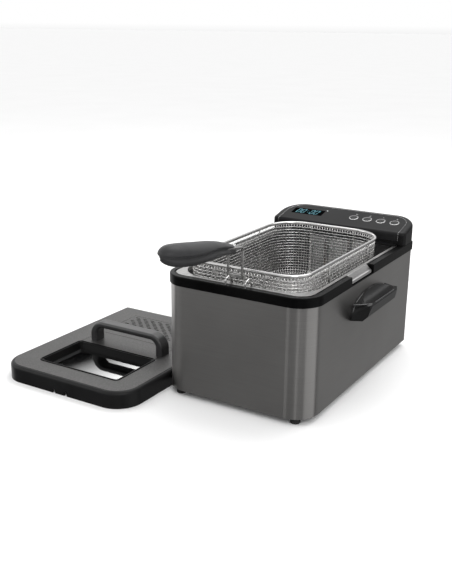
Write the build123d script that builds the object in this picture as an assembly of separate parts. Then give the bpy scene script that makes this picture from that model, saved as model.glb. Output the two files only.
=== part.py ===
from build123d import *
import math
import os

# A household deep fryer with its lid beside it. Millimetres, +Z up, +X to the right, +Y to the back.
# The origin is on the table, under the middle of the steel body.

# ---- Driving dimensions ----
BODY_HALF_W = 122.5     # steel body, half its width
BODY_HALF_D = 198.0     # steel body, half its depth
FRONT_R = 36.7          # rounded front corners of the steel body
BACK_R = 4.0            # nearly square back corners
STEEL_T = 0.8
BASE_Z = 10.0           # underside of the body, the height of the feet
STEEL_TOP = 176.5
COLLAR_TOP = 191.0
COLLAR_OVER = 1.9       # the collar stands this far proud of the steel

TANK_HALF_W = 108.2     # inside of the tank
TANK_FRONT = -183.0
TANK_BACK = 168.0
TANK_FRONT_R = 48.0
TANK_BACK_R = 20.8
TANK_FLOOR = 52.0
TANK_BEND_R = 16.0
TANK_T = 1.2
FLANGE_HALF_W = 112.8   # flange round the tank's mouth, squarer at the corners than the mouth
FLANGE_FRONT = -188.6
FLANGE_BACK = 172.6
FLANGE_FRONT_R = 23.0
FLANGE_BACK_R = 25.4
FLANGE_GAP = 3.1        # open groove between flange and collar

NOTCH_FRONT = -64.0     # notches in the sides of the collar, for the tank's lifting tabs
NOTCH_BACK = 19.0

HEAD_HALF_W = 124.6
HEAD_FRONT = 151.0
HEAD_BACK = 222.0
HEAD_FRONT_R = 8.0
HEAD_BACK_R = 40.0
HEAD_Z = COLLAR_TOP + 0.2
HEAD_SPLIT = 196.0      # parting line between the head's base and its cover
HEAD_FRONT_TOP = 211.6  # height of the top plane over the head's front face
HEAD_SLOPE = 13.1       # degrees, rising to the back
HEAD_WALL = 2.6
DECK_FRONT = 138.8

BASKET_HALF_W = 96.7    # outside of the basket's mesh
BASKET_FRONT = -176.7
BASKET_BACK = 134.5
BASKET_R = 34.0         # front corners of the basket
BASKET_BACK_R = 54.0
BASKET_BOTTOM = 119.0
RIM_Z = 211.5
RIM_WIRE_R = 2.5
MESH_T = 1.4
FRAME_WIRE_R = 1.5
HANDLE_X = -6.1         # the basket's handle sits a little left of the middle
LEG_X = 11.6            # handle wires, left and right of the handle's middle
LEG_R = 2.0
HOOK_X = (-12.2, 20.2)   # the two draining hooks

LID_X = -249.6          # middle of the lid, which lies to the left of the body
LID_FRONT = -291.6
LID_BACK = 37.8
LID_HALF_W = 124.4
LID_R = 40.8
LID_TOP = 26.6

SCREW_FIT = 0.1         # radial clearance of a screw in its hole


# ---- Helpers ----
def block(x, y, z):
    """Box between two limits on each axis."""
    size = Box(x[1] - x[0], y[1] - y[0], z[1] - z[0])
    return Pos((x[0] + x[1]) / 2, (y[0] + y[1]) / 2, (z[0] + z[1]) / 2) * size


def rod(radius, start, axis, length):
    """Round bar from a point along a direction."""
    return extrude(Plane(origin=start, z_dir=axis) * Circle(radius), length)


def outline(half_w, front, back, r_front, r_back):
    """Flat plan outline with its own radius on the front and on the back corners."""
    plate = Pos(0, (front + back) / 2) * Rectangle(2 * half_w, back - front)
    plate = fillet(plate.vertices().sort_by(Axis.Y)[:2], r_front)
    return fillet(plate.vertices().sort_by(Axis.Y)[-2:], r_back)


def prism(half_w, front, back, r_front, r_back, low, high):
    """Upright solid with that plan outline."""
    return extrude(Pos(0, 0, low) * outline(half_w, front, back, r_front, r_back), high - low)


def body_prism(inset, low, high):
    """The steel body's outline, moved inwards by inset (outwards when negative)."""
    half_w, half_d = BODY_HALF_W - inset, BODY_HALF_D - inset
    return prism(half_w, -half_d, half_d, FRONT_R - inset, BACK_R - min(inset, 3.0), low, high)


def tank_prism(grow, low, high):
    """The tank's inside outline, moved outwards by grow."""
    return prism(TANK_HALF_W + grow, TANK_FRONT - grow, TANK_BACK + grow,
                 TANK_FRONT_R + grow, TANK_BACK_R + grow, low, high)


def flange_prism(grow, low, high):
    """The tank flange's outline, moved outwards by grow."""
    return prism(FLANGE_HALF_W + grow, FLANGE_FRONT - grow, FLANGE_BACK + grow,
                 FLANGE_FRONT_R + grow, FLANGE_BACK_R + grow, low, high)


def lid_prism(inset, low, high):
    """The lid's outline, moved inwards by inset, where the lid lies."""
    back_r = max(6.0 - inset, 2.0)
    shape = prism(LID_HALF_W - inset, LID_FRONT + inset, LID_BACK - inset, LID_R - inset, back_r, low, high)
    return Pos(LID_X, 0, 0) * shape


def wire(points, bend, radius):
    """Round wire along straight runs joined by arcs."""
    path = FilletPolyline(*points, radius=bend)
    return sweep(Plane(origin=path @ 0, z_dir=path % 0) * Circle(radius), path)


def side_cut(points, low, high):
    """Solid from an outline in the Y-Z plane, between two X values."""
    face = Plane.YZ * make_face(Polyline(*points, close=True))
    return Pos(low, 0, 0) * extrude(face, high - low)


def front_cut(points, low, high):
    """Solid from an outline in the X-Z plane, between two Y values."""
    face = Plane.XZ * make_face(Polyline(*points, close=True))
    return Pos(0, high, 0) * extrude(face, high - low)


def mirrored(shape):
    return mirror(shape, about=Plane.YZ)


def both_sides(shape):
    return [shape, mirrored(shape)]


# ---- Body ----
HANDLE_SCREWS = [(-44.0, 131.0), (-34.0, 144.0), (48.0, 144.0), (60.0, 131.0)]   # (y, z)
FEET = [(x, y) for x in (-98.0, 98.0) for y in (-183.0, 183.0)]
RIVETS = [(x, z) for x in (-69.5, 69.5) for z in (106.0, 166.0)]
FOOT_R = 7.5


def outer_housing():
    skin = body_prism(0, BASE_Z, STEEL_TOP) - body_prism(STEEL_T, BASE_Z, STEEL_TOP)
    lip_low = STEEL_TOP - STEEL_T
    lip = body_prism(STEEL_T, lip_low, STEEL_TOP) - body_prism(6.0, lip_low, STEEL_TOP)
    shell = skin + lip
    for y, z in HANDLE_SCREWS:
        shell -= rod(2.0 + SCREW_FIT, (-130, y, z), (1, 0, 0), 260)
    for x, z in RIVETS:
        shell -= rod(1.5 + SCREW_FIT, (x, 190, z), (0, 1, 0), 12)
    return shell


def base_plate():
    inset = STEEL_T + 0.15
    tray = body_prism(inset, BASE_Z, BASE_Z + 16) - body_prism(inset + 2, BASE_Z + 2.5, BASE_Z + 16)
    for x, y in FEET:
        tray += rod(5.0, (x, y, BASE_Z + 2), (0, 0, 1), 7)
        tray -= rod(2.0 + SCREW_FIT, (x, y, BASE_Z - 1), (0, 0, 1), 14)
    return tray


def feet():
    pads = []
    for x, y in FEET:
        pad = rod(FOOT_R, (x, y, 0), (0, 0, 1), BASE_Z)
        pad = fillet(pad.edges().sort_by(Axis.Z)[0], 2.0)
        pad -= rod(2.0 + SCREW_FIT, (x, y, 0), (0, 0, 1), BASE_Z)
        pads.append(pad - rod(4.0, (x, y, 0), (0, 0, 1), 4))
    return pads


def base_screws():
    screws = []
    for x, y in FEET:
        head = rod(3.6, (x, y, 1.8), (0, 0, 1), 2.2)
        screws.append(head + rod(2.0, (x, y, 4), (0, 0, 1), 16))
    return screws


def top_collar():
    ring = body_prism(-COLLAR_OVER, STEEL_TOP, COLLAR_TOP)
    ring = fillet(ring.faces().sort_by(Axis.Z)[-1].edges(), 1.6)
    ring += body_prism(6.3, STEEL_TOP - 6, STEEL_TOP + 1)
    ring -= tank_prism(TANK_T + 0.8, 165, COLLAR_TOP)
    ring -= flange_prism(FLANGE_GAP, COLLAR_TOP - TANK_T, COLLAR_TOP + 1)
    notch_inner = TANK_HALF_W + 5.4
    for side in both_sides(block((notch_inner, 130), (NOTCH_FRONT, NOTCH_BACK), (STEEL_TOP + 1.4, 200))):
        ring -= side
    return ring


HANDLE_LOW = 122.0
HANDLE_FRONT, HANDLE_BACK = -59.0, 75.5
HANDLE_LIP = 150.0      # how far the lip stands out


def handle_profile(inset, low):
    """The handle cut across: scooped top, lip, and a skirt that falls back towards the wall."""
    wall, lip = BODY_HALF_W + inset, HANDLE_LIP - inset
    scoop = ThreePointArc((lip - 1.2, 149.3 - inset), (135.5, 149.0 - inset), (126.2, 157.4 - inset))
    bend, slope = (139.0 - inset, low), (145.5 - inset, 129.0)
    skirt = Polyline((wall, low), bend, slope, (lip, 144.5 - inset), scoop @ 0)
    top = Polyline(scoop @ 1, (wall, 157.4 - inset), (wall, low))
    return Pos(0, 90, 0) * extrude(Plane.XZ * make_face([skirt, scoop, top]), 180)


def handle_plan(inset, low):
    """The handle from above: a lip with cut corners, rounded."""
    front, back, lip = HANDLE_FRONT + inset, HANDLE_BACK - inset, HANDLE_LIP - inset
    plan = make_face(Polyline((110, front), (125, front), (lip, front + 13), (lip + 0.8, 8),
                              (lip, back - 14), (125, back), (110, back), close=True))
    plan = fillet(plan.vertices().group_by(Axis.X)[-2], 7.0)
    return extrude(Pos(0, 0, low - 5) * plan, 80)


def handle_face(inset, low):
    """The handle face on: straight sides under a flat arch."""
    front, back = HANDLE_FRONT + inset, HANDLE_BACK - inset
    arch = ThreePointArc((front + 11, 146 - inset), (8, 158.2 - inset), (back - 9, 147 - inset))
    sides = Polyline(arch @ 1, (back, 132), (back, low), (front, low), (front, 132), arch @ 0)
    face = make_face([arch, sides])
    face = fillet(face.vertices().group_by(Axis.Y)[1], 12.0)
    return Pos(100, 0, 0) * extrude(Plane.YZ * face, 70)


def handle_form(inset, low):
    """Scooped side handle: three outlines crossed, each moved inwards by inset."""
    return handle_profile(inset, low) & handle_plan(inset, low) & handle_face(inset, low)


def side_handle():
    cup = handle_form(0, HANDLE_LOW) - handle_form(3.0, HANDLE_LOW - 8)
    for y, z in HANDLE_SCREWS:
        cup -= rod(1.8, (BODY_HALF_W - 1, y, z), (1, 0, 0), 3.4)
    return cup


def handle_screws():
    screws = []
    for y, z in HANDLE_SCREWS:
        head = rod(3.4, (BODY_HALF_W - STEEL_T - 2.2, y, z), (1, 0, 0), 2.2)
        screws += both_sides(head + rod(1.75, (BODY_HALF_W - STEEL_T, y, z), (1, 0, 0), 3.0))
    return screws


RAIL_WEB = 63.5         # inner face of each rail's web
BOX_HALF_W = 62.0       # the head's rear box, which slides between the rails


def guide_rails():
    wall, low, high = BODY_HALF_D, 96.0, 176.0
    rail = block((RAIL_WEB, RAIL_WEB + 1.5), (wall, wall + 13), (low, high))
    rail += block((RAIL_WEB + 1, RAIL_WEB + 10), (wall, wall + 1.5), (low, high))
    rail += block((57.5, RAIL_WEB + 1), (wall + 11.5, wall + 13), (low, high))
    for z in (106.0, 166.0):
        rail -= rod(1.5 + SCREW_FIT, (69.5, wall - 1, z), (0, 1, 0), 4)
    return both_sides(rail)


def rail_rivets():
    rivets = []
    for x, z in RIVETS:
        shank = rod(1.5, (x, BODY_HALF_D - STEEL_T, z), (0, 1, 0), STEEL_T + 1.5)
        inside = rod(2.6, (x, BODY_HALF_D - STEEL_T - 0.8, z), (0, 1, 0), 0.8)
        rivets.append(shank + inside + rod(2.6, (x, BODY_HALF_D + 1.5, z), (0, 1, 0), 1.0))
    return rivets


PEG_Y = 209.0


def interlock_peg():
    foot = block((-8, 8), (BODY_HALF_D, BODY_HALF_D + 1.5), (88, 98))
    shelf = block((-8, 8), (BODY_HALF_D, PEG_Y + 5), (88, 90))
    return foot + shelf + rod(2.2, (0, PEG_Y, 89), (0, 0, 1), 29)


# ---- Tank ----
def oil_tank():
    outer = tank_prism(TANK_T, TANK_FLOOR - TANK_T, COLLAR_TOP)
    outer = fillet(outer.faces().sort_by(Axis.Z)[0].edges(), TANK_BEND_R + TANK_T)
    inner = tank_prism(0, TANK_FLOOR, COLLAR_TOP)
    inner = fillet(inner.faces().sort_by(Axis.Z)[0].edges(), TANK_BEND_R)
    return outer + flange_prism(0, COLLAR_TOP - TANK_T, COLLAR_TOP) - inner


def tank_lift_tabs():
    edge = FLANGE_HALF_W
    top = COLLAR_TOP - 0.1
    points = [(edge, top), (114.4, top), (120.6, 184.4), (122.4, 183.6), (122.4, 179.2), (121.3, 179.2),
              (121.3, 182.8), (119.9, 183.4), (114.0, top - 1), (edge, top - 1)]
    return both_sides(front_cut(points, NOTCH_FRONT + 5, NOTCH_BACK - 5))


# ---- Control head ----
HEAD_PLANE = Plane(origin=(0, HEAD_FRONT, HEAD_FRONT_TOP), x_dir=(1, 0, 0),
                   z_dir=(0, -math.sin(math.radians(HEAD_SLOPE)), math.cos(math.radians(HEAD_SLOPE))))
PANEL_T = 1.2
BUTTONS = {"power_button": 17.5, "timer_button": 42.5, "minus_button": 67.5, "plus_button": 92.5}
BUTTON_V = 36.4         # distance up the sloped plane
BUTTON_R = 6.4
BEZEL_R = 8.4
WINDOW_AT = (-71.5, 37.4)
WINDOW_SIZE = (60.0, 22.0)
LED_AT = (-39.0, 49.8)
BOARD_TOP = -11.0       # below the sloped plane, measured square to it
BOARD_SCREWS = [(-98.0, 26.0), (80.0, 26.0), (-8.0, 52.0), (60.0, 52.0)]


def on_head(x, v, low, high, shape):
    """Extrude a flat shape square to the head's sloped plane, between two depths."""
    return extrude(HEAD_PLANE * Pos(x, v, low) * shape, high - low)


def head_form(inset):
    """Outside of the head moved inwards by inset: upright walls under a sloped top with round edges."""
    rise = math.tan(math.radians(HEAD_SLOPE))
    drop = inset / math.cos(math.radians(HEAD_SLOPE))
    walls = prism(HEAD_HALF_W - inset, HEAD_FRONT + inset, HEAD_BACK - inset,
                  HEAD_FRONT_R - inset, HEAD_BACK_R - inset, HEAD_Z, 245)
    near = HEAD_FRONT_TOP - drop - 11 * rise
    far = HEAD_FRONT_TOP - drop + 89 * rise
    under = side_cut([(HEAD_FRONT - 11, 150), (HEAD_FRONT + 89, 150), (HEAD_FRONT + 89, far),
                      (HEAD_FRONT - 11, near)], -130, 130)
    form = walls & under
    return fillet(form.faces().sort_by(Axis.Z)[-1].edges(), 5.0 - inset)


def panel_region(gap):
    """Upright column that bounds the inlaid control panel."""
    return prism(112.5 - gap, 140, 213.5 - gap, 0.5, 30.5 - gap, 197.5 + gap, 260)


def split_box(low, high):
    return block((-140, 140), (100, 260), (low, high))


def head_base():
    hollow = head_form(HEAD_WALL) & split_box(HEAD_Z + 2.5, 260)
    tray = (head_form(0) & split_box(180, HEAD_SPLIT)) - hollow
    deck = prism(112.0, DECK_FRONT, HEAD_FRONT + 2, 5, 0.5, HEAD_Z, HEAD_Z + 2.5)
    box = block((-BOX_HALF_W, BOX_HALF_W), (201, 208.5), (110, HEAD_Z + 1))
    box += block((-55.5, 55.5), (208, 221), (110, HEAD_Z + 1))
    base = tray + deck + box
    base -= block((-53.1, 53.1), (203.4, 218.6), (112.4, 200))
    base -= rod(3.6, (0, PEG_Y, 105), (0, 0, 1), 10)
    for x in (-22, 22):
        base -= rod(ELEMENT_R + 0.2, (x, ELEMENT_Y, 185), (0, 0, 1), 10)
    for x in (-10, 10):
        base -= rod(1.3, (x, ELEMENT_Y, 185), (0, 0, 1), 10)
    for x, y in HEAD_SCREWS:
        base -= rod(1.5 + SCREW_FIT, (x, y, 185), (0, 0, 1), 12)
    base -= rod(7.1, (GLAND_AT[0], 215, GLAND_AT[1]), (0, 1, 0), 10)
    base -= rod(4.0, (RESET_AT[0], 215, RESET_AT[1]), (0, 1, 0), 10)
    return base


HEAD_SCREWS = [(-110.0, 160.0), (110.0, 160.0), (-80.0, 213.0), (80.0, 213.0)]
GLAND_AT = (-32.0, 132.0)      # (x, z) on the rear wall of the box
RESET_AT = (34.0, 150.0)


def head_cover():
    shell = (head_form(0) - head_form(HEAD_WALL)) & split_box(HEAD_SPLIT, 260)
    shell -= (head_form(0) - head_form(PANEL_T + 0.05)) & panel_region(0)
    for x, y in HEAD_SCREWS:
        shell += rod(3.6, (x, y, HEAD_SPLIT), (0, 0, 1), 60) & head_form(1.5)
        shell -= rod(1.5, (x, y, HEAD_SPLIT), (0, 0, 1), 8)
    for x, v in BOARD_SCREWS:
        shell += on_head(x, v, BOARD_TOP + 0.05, -2, Circle(3.0))
        shell -= on_head(x, v, BOARD_TOP - 1, -5, Circle(1.2))
    shell -= on_head(*WINDOW_AT, -6, 0, Rectangle(53, 15))
    shell -= on_head(*LED_AT, -6, 0, Circle(1.3))
    for x in BUTTONS.values():
        shell -= on_head(x, BUTTON_V, -6, 0, Circle(BUTTON_R + 0.4))
    return shell


def control_panel():
    sheet = (head_form(0) - head_form(PANEL_T)) & panel_region(0.35)
    sheet -= on_head(*WINDOW_AT, -4, 4, RectangleRounded(*WINDOW_SIZE, 2))
    sheet -= on_head(*LED_AT, -4, 4, Circle(1.3))
    for x in BUTTONS.values():
        sheet -= on_head(x, BUTTON_V, -4, 4, Circle(BEZEL_R + 0.1))
    return sheet


def display_window():
    size = [side - 0.5 for side in WINDOW_SIZE]
    return on_head(*WINDOW_AT, -PANEL_T, -0.05, RectangleRounded(*size, 1.8))


def display_module():
    return on_head(*WINDOW_AT, BOARD_TOP, -2.8, Rectangle(50, 14))


def indicator_led():
    return on_head(*LED_AT, BOARD_TOP, -0.1, Circle(1.15))


def control_board():
    board = on_head(0, 39, BOARD_TOP - 1.6, BOARD_TOP - 0.02, Rectangle(208, 34))
    for x, v in BOARD_SCREWS:
        board -= on_head(x, v, BOARD_TOP - 3, BOARD_TOP + 1, Circle(1.35))
    return board


def board_screws():
    screws = []
    for x, v in BOARD_SCREWS:
        head = on_head(x, v, BOARD_TOP - 3.4, BOARD_TOP - 1.6, Circle(2.4))
        screws.append(head + on_head(x, v, BOARD_TOP - 1.7, BOARD_TOP + 5, Circle(1.15)))
    return screws


def button_bezels():
    rings = []
    for x in BUTTONS.values():
        ring = on_head(x, BUTTON_V, -PANEL_T, 0.7, Circle(BEZEL_R))
        ring = fillet(ring.faces().sort_by(Axis.Z)[-1].edges(), 0.6)
        rings.append(ring - on_head(x, BUTTON_V, -3, 3, Circle(BUTTON_R + 0.35)))
    return rings


def push_button(x):
    cap = on_head(x, BUTTON_V, -3.6, 1.1, Circle(BUTTON_R))
    cap = fillet(cap.faces().sort_by(Axis.Z)[-1].edges(), 0.8)
    cap += on_head(x, BUTTON_V, -4.2, -3.0, Circle(BUTTON_R + 1.4))
    return cap + on_head(x, BUTTON_V, -7.4, -4.0, Circle(2.0))


def tact_switches():
    return [on_head(x, BUTTON_V, BOARD_TOP, -8.8, Rectangle(6, 6)) for x in BUTTONS.values()]


def head_screws():
    screws = []
    for x, y in HEAD_SCREWS:
        shank = rod(1.45, (x, y, HEAD_Z + 2.5), (0, 0, 1), 9)
        screws.append(shank + rod(2.8, (x, y, HEAD_Z + 2.5), (0, 0, 1), 1.6))
    return screws


def power_relay():
    return block((-48, -20), (203.4, 215.4), (156, 184))


def terminal_block():
    strip = block((-14, 20), (203.4, 214), (164, 180))
    for i in range(4):
        strip -= rod(2.2, (-9 + 8 * i, 216, 172), (0, -1, 0), 8)
    return strip


def interlock_switch():
    return block((-8, 8), (203.4, 214), (122, 142)) + rod(1.3, (0, PEG_Y, 119.4), (0, 0, 1), 3)


def thermal_cutout():
    x, z = RESET_AT
    return rod(8, (x, 203.4, z), (0, 1, 0), 10) + block((x - 12, x + 12), (203.4, 205), (z - 4, z + 4))


def reset_button():
    x, z = RESET_AT
    cap = rod(3.7, (x, 217.4, z), (0, 1, 0), 4.2) + rod(5.0, (x, 216.8, z), (0, 1, 0), 1.4)
    return cap + rod(1.5, (x, 215.0, z), (0, 1, 0), 2)


def mains_gland():
    x, z = GLAND_AT
    body = rod(7.0, (x, 214, z), (0, 1, 0), 11) + rod(10.0, (x, 221, z), (0, 1, 0), 2)
    return body + rod(9.6, (x, 215.4, z), (0, 1, 0), 3.2) - rod(4.0, (x, 213, z), (0, 1, 0), 14)


ELEMENT_Z = 62.0
ELEMENT_R = 3.6
ELEMENT_Y = 160.0


def heating_element():
    half = [(22, ELEMENT_Y, 199), (22, ELEMENT_Y, ELEMENT_Z), (22, 120, ELEMENT_Z), (84, 92, ELEMENT_Z),
            (84, -150, ELEMENT_Z), (38, -150, ELEMENT_Z), (38, 60, ELEMENT_Z)]
    other = [(-x, y, z) for x, y, z in reversed(half)]
    return wire(half + other, 14.0, ELEMENT_R)


def element_mount_plate():
    sheet = block((-50, 50), (164.5, 166.0), (76, 191.1)) + block((-50, 50), (152.0, 166.0), (189.6, 191.1))
    for x, radius in ((-22, ELEMENT_R), (22, ELEMENT_R), (-10, 1.0), (10, 1.0)):
        sheet -= rod(radius + 0.1, (x, ELEMENT_Y, 185), (0, 0, 1), 10)
    return sheet


def element_nuts():
    nuts = []
    for x in (-22, 22):
        nut = rod(6.0, (x, ELEMENT_Y, HEAD_Z + 2.55), (0, 0, 1), 4)
        nuts.append(nut - rod(ELEMENT_R + 0.05, (x, ELEMENT_Y, 190), (0, 0, 1), 12))
    return nuts


def element_clips():
    top = ELEMENT_Z + ELEMENT_R
    straps = [block((-89, 89), (y, y + 8), (top + 0.05, top + 1.5)) for y in (-64.0, 30.0)]
    for z in (100.0, 150.0):
        straps.append(block((-30, 30), (ELEMENT_Y + ELEMENT_R + 0.05, 164.5), (z, z + 7)))
    return straps


def sensor_bulbs():
    return [rod(3.0, (x, 78, ELEMENT_Z), (0, 1, 0), 62) for x in (-10, 10)]


def capillary_tubes():
    return [wire([(x, 140, ELEMENT_Z), (x, ELEMENT_Y, ELEMENT_Z), (x, ELEMENT_Y, 198)], 6.0, 1.0)
            for x in (-10, 10)]


# ---- Basket ----
def basket_prism(inset, low, high):
    return prism(BASKET_HALF_W - inset, BASKET_FRONT + inset, BASKET_BACK - inset,
                 BASKET_R - inset, BASKET_BACK_R - inset, low, high)


def basket_mesh():
    outer = basket_prism(0, BASKET_BOTTOM, RIM_Z - RIM_WIRE_R)
    outer = fillet(outer.faces().sort_by(Axis.Z)[0].edges(), 12)
    inner = basket_prism(MESH_T, BASKET_BOTTOM + MESH_T, RIM_Z)
    inner = fillet(inner.faces().sort_by(Axis.Z)[0].edges(), 12 - MESH_T)
    return outer - inner


def basket_rim():
    loop = Pos(0, 0, RIM_Z) * outline(BASKET_HALF_W - 0.7, BASKET_FRONT + 0.7, BASKET_BACK - 0.7,
                                      BASKET_R - 0.7, BASKET_BACK_R - 0.7)
    path = loop.wire()
    return sweep(Plane(origin=path @ 0, z_dir=path % 0) * Circle(RIM_WIRE_R), path)


def basket_frame():
    gap = FRAME_WIRE_R + 0.1
    x, top, low = BASKET_HALF_W + gap, RIM_Z - RIM_WIRE_R - 0.1, BASKET_BOTTOM - gap
    wires = []
    for y in (-90.0, 55.0):
        wires.append(wire([(-x, y, top), (-x, y, low), (x, y, low), (x, y, top)], 13.5, FRAME_WIRE_R))
    deep = low - 2 * FRAME_WIRE_R - 0.1
    front, back = BASKET_FRONT - gap, BASKET_BACK + gap
    for x in (-40.0, 40.0):
        path = [(x, front, top), (x, front, deep), (x, back, deep), (x, back, top)]
        wires.append(wire(path, 16.0, FRAME_WIRE_R))
    return wires


def drain_hooks():
    y = BASKET_FRONT - FRAME_WIRE_R - 0.1
    return [wire([(x, y, 168), (x, y, 191), (x, -186.5, 202.5), (x, -197, 199), (x, -197, COLLAR_TOP + 0.3)],
                 3.6, FRAME_WIRE_R) for x in HOOK_X]


def handle_bracket():
    front = BASKET_FRONT - 2.0
    return block((HANDLE_X - 14.3, HANDLE_X + 14.3), (front, BASKET_FRONT - 0.05), (199, 202.6))


LEG_Y = BASKET_FRONT - 2.05 - LEG_R
WIRE_BEND = 244.6
WIRE_END = (-246.0, 255.4)      # (y, z) of the wire's closed end inside the grip


def handle_path():
    side = [(LEG_Y, 199.5), (LEG_Y, WIRE_BEND), WIRE_END]
    right = [(HANDLE_X + LEG_X, y, z) for y, z in side]
    left = [(HANDLE_X - LEG_X, y, z) for y, z in reversed(side)]
    return right + left


def handle_wire():
    return wire(handle_path(), 7.0, LEG_R)


# Grip, station by station from the neck to the tip: y, middle z, half height, half width
GRIP = [(-196.5, 244.8, 5.0, 8.0), (-200.0, 245.3, 7.4, 12.0), (-210.0, 247.6, 8.8, 15.4),
        (-228.0, 251.6, 10.4, 18.0), (-250.0, 255.0, 12.2, 19.8), (-273.0, 257.0, 14.0, 21.0),
        (-297.0, 259.6, 15.4, 21.0), (-319.0, 263.6, 15.4, 20.0), (-338.0, 267.2, 13.6, 17.2),
        (-351.0, 269.4, 9.6, 12.0), (-358.0, 270.4, 4.0, 5.0)]
CREASE = [(-180.0, 245.4), (-198.0, 247.4), (-224.0, 254.2), (-248.0, 258.6), (-273.0, 260.0),
          (-297.0, 261.2), (-319.0, 263.8), (-340.0, 267.0), (-370.0, 272.0)]
GRIP_SCREW_Y = -262.0


def grip_form():
    rings = [Plane(origin=(HANDLE_X, y, z), x_dir=(1, 0, 0), z_dir=(0, -1, 0)) * Ellipse(w, h)
             for y, z, h, w in GRIP]
    solid = loft(rings) - wire(handle_path(), 7.0, LEG_R + 0.06)
    solid -= rod(1.5, (HANDLE_X, GRIP_SCREW_Y, 230), (0, 0, 1), 34)
    return solid - rod(3.2, (HANDLE_X, GRIP_SCREW_Y, 230), (0, 0, 1), 18)


def grip_upper():
    return grip_form() & side_cut(CREASE + [(-370, 320), (-180, 320)], -40, 40)


def grip_lower():
    return grip_form() & side_cut(CREASE + [(-370, 200), (-180, 200)], -40, 40)


def grip_screw():
    head = rod(3.1, (HANDLE_X, GRIP_SCREW_Y, 245.8), (0, 0, 1), 2.2)
    return head + rod(1.45, (HANDLE_X, GRIP_SCREW_Y, 247), (0, 0, 1), 16)


# ---- Lid ----
LID_WINDOW = (-248.9, -200.8, 156.0, 98.0)     # middle x and y, width, depth
LID_HANDLE_X = -242.0
LID_LEGS = (LID_HANDLE_X - 67.8, LID_HANDLE_X + 67.8)
LID_LEG_T = 14.0
LID_LEG_W = 22.0
LID_LEG_Y = -126.6
LID_HANDLE_TOP = 61.4
VENT_AREA = (LID_X, -37.0)
VENT_ROWS = 12
VENT_PITCH = (16.4, 5.6)                       # along a row, and from row to row
# Left, right and back lines of the lid's inner panel, then its cross seam
PANEL_LINES = (-326.0, -172.0, 1.5, -96.0)


def lid_rim():
    rim = lid_prism(0, 0, LID_TOP - 0.6)
    rim = fillet(rim.faces().sort_by(Axis.Z)[-1].edges(), 5.0)
    rim -= lid_prism(3.2, 0, LID_TOP - 4.2)
    rim -= lid_prism(12.0, 0, LID_TOP)
    rim -= lid_prism(5.6, LID_TOP - 2.0, LID_TOP)
    for x in (-LEG_X, LEG_X):
        rim -= block((LID_X + x - 2.8, LID_X + x + 2.8), (LID_FRONT - 1, LID_FRONT + 5), (0, 6.5))
    return rim


def window_column(grow, low, high):
    x, y, width, depth = LID_WINDOW
    shape = RectangleRounded(width + 2 * grow, depth + 2 * grow, max(8.0 + grow, 2.0))
    return Pos(x, y, low) * extrude(shape, high - low)


def vent_slots():
    """Short slots in rows across the lid, each row moved on so that the slots stand in slanting bands."""
    slots = []
    pitch, step = VENT_PITCH
    for row in range(VENT_ROWS):
        y = VENT_AREA[1] - (row - (VENT_ROWS - 1) / 2) * step
        for column in range(-9, 5):
            x = column * pitch + row * step
            if abs(x) < 66:
                slots.append(Pos(VENT_AREA[0] + x, y, LID_TOP - 3) * extrude(SlotOverall(9.6, 2.4), 4))
    return slots


def panel_lines():
    """Fine grooves round the lid's inner panel and across it behind the handle."""
    left, right, back, seam = PANEL_LINES
    depth = (LID_TOP - 0.5, LID_TOP + 1)
    front = LID_WINDOW[1] - LID_WINDOW[3] / 2
    lines = [block((x - 0.4, x + 0.4), (front, back), depth) for x in (left, right)]
    return lines + [block((left, right), (y - 0.4, y + 0.4), depth) for y in (back, seam)]


def lid_top_plate():
    plate = lid_prism(5.9, LID_TOP - 2.0, LID_TOP)
    plate = chamfer(plate.faces().sort_by(Axis.Z)[-1].edges(), 0.5)
    plate -= window_column(0.2, LID_TOP - 3, LID_TOP + 1)
    for cut in vent_slots() + panel_lines():
        plate -= cut
    for x in LID_LEGS:
        plate -= rod(2.0 + SCREW_FIT, (x, LID_LEG_Y, 20), (0, 0, 1), 8)
    return plate


def window_frame():
    x, y, width, depth = LID_WINDOW
    top, low = LID_TOP - 0.1, 17.0
    outer = [Pos(x, y, z) * RectangleRounded(width + g, depth + g, r)
             for z, g, r in ((low, -12.0, 4.0), (top, 0.0, 8.0))]
    inner = [Pos(x, y, z) * RectangleRounded(width + g, depth + g, r)
             for z, g, r in ((low, -18.0, 2.0), (top, -4.0, 6.0))]
    ledge = window_column(2.0, low, low + 2.0) - window_column(-9.0, low, low + 2.0)
    return loft(outer) + ledge - loft(inner)


def window_glass():
    return window_column(-3.0, 13.5, 17.0)


def window_seal():
    return window_column(1.5, 13.5, 17.0) - window_column(-2.9, 13.5, 17.0)


def lid_handle():
    """Arch of flat bar with round corners: an upright ring, cut off at the lid's top."""
    left, right = LID_LEGS
    middle, width, height = (left + right) / 2, right - left, LID_HANDLE_TOP - LID_TOP
    outer = fillet(Rectangle(width + LID_LEG_T, 2 * height).vertices(), 24)
    inner = fillet(Rectangle(width - LID_LEG_T, 2 * (height - 10.0)).vertices(), 12)
    ring = Plane.XZ * Pos(middle, LID_TOP) * (outer - inner)
    arch = Pos(0, LID_LEG_Y + LID_LEG_W / 2, 0) * extrude(ring, LID_LEG_W)
    arch &= block((left - 20, right + 20), (LID_LEG_Y - 20, LID_LEG_Y + 20), (LID_TOP + 0.02, 80))
    long_edges = [edge for edge in arch.edges() if edge.center().Z > LID_TOP + 0.1
                  and abs(abs(edge.center().Y - LID_LEG_Y) - LID_LEG_W / 2) < 0.01]
    arch = fillet(long_edges, 3.8)
    for x in LID_LEGS:
        arch -= rod(1.8, (x, LID_LEG_Y, LID_TOP - 1), (0, 0, 1), 14)
    return arch


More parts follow.
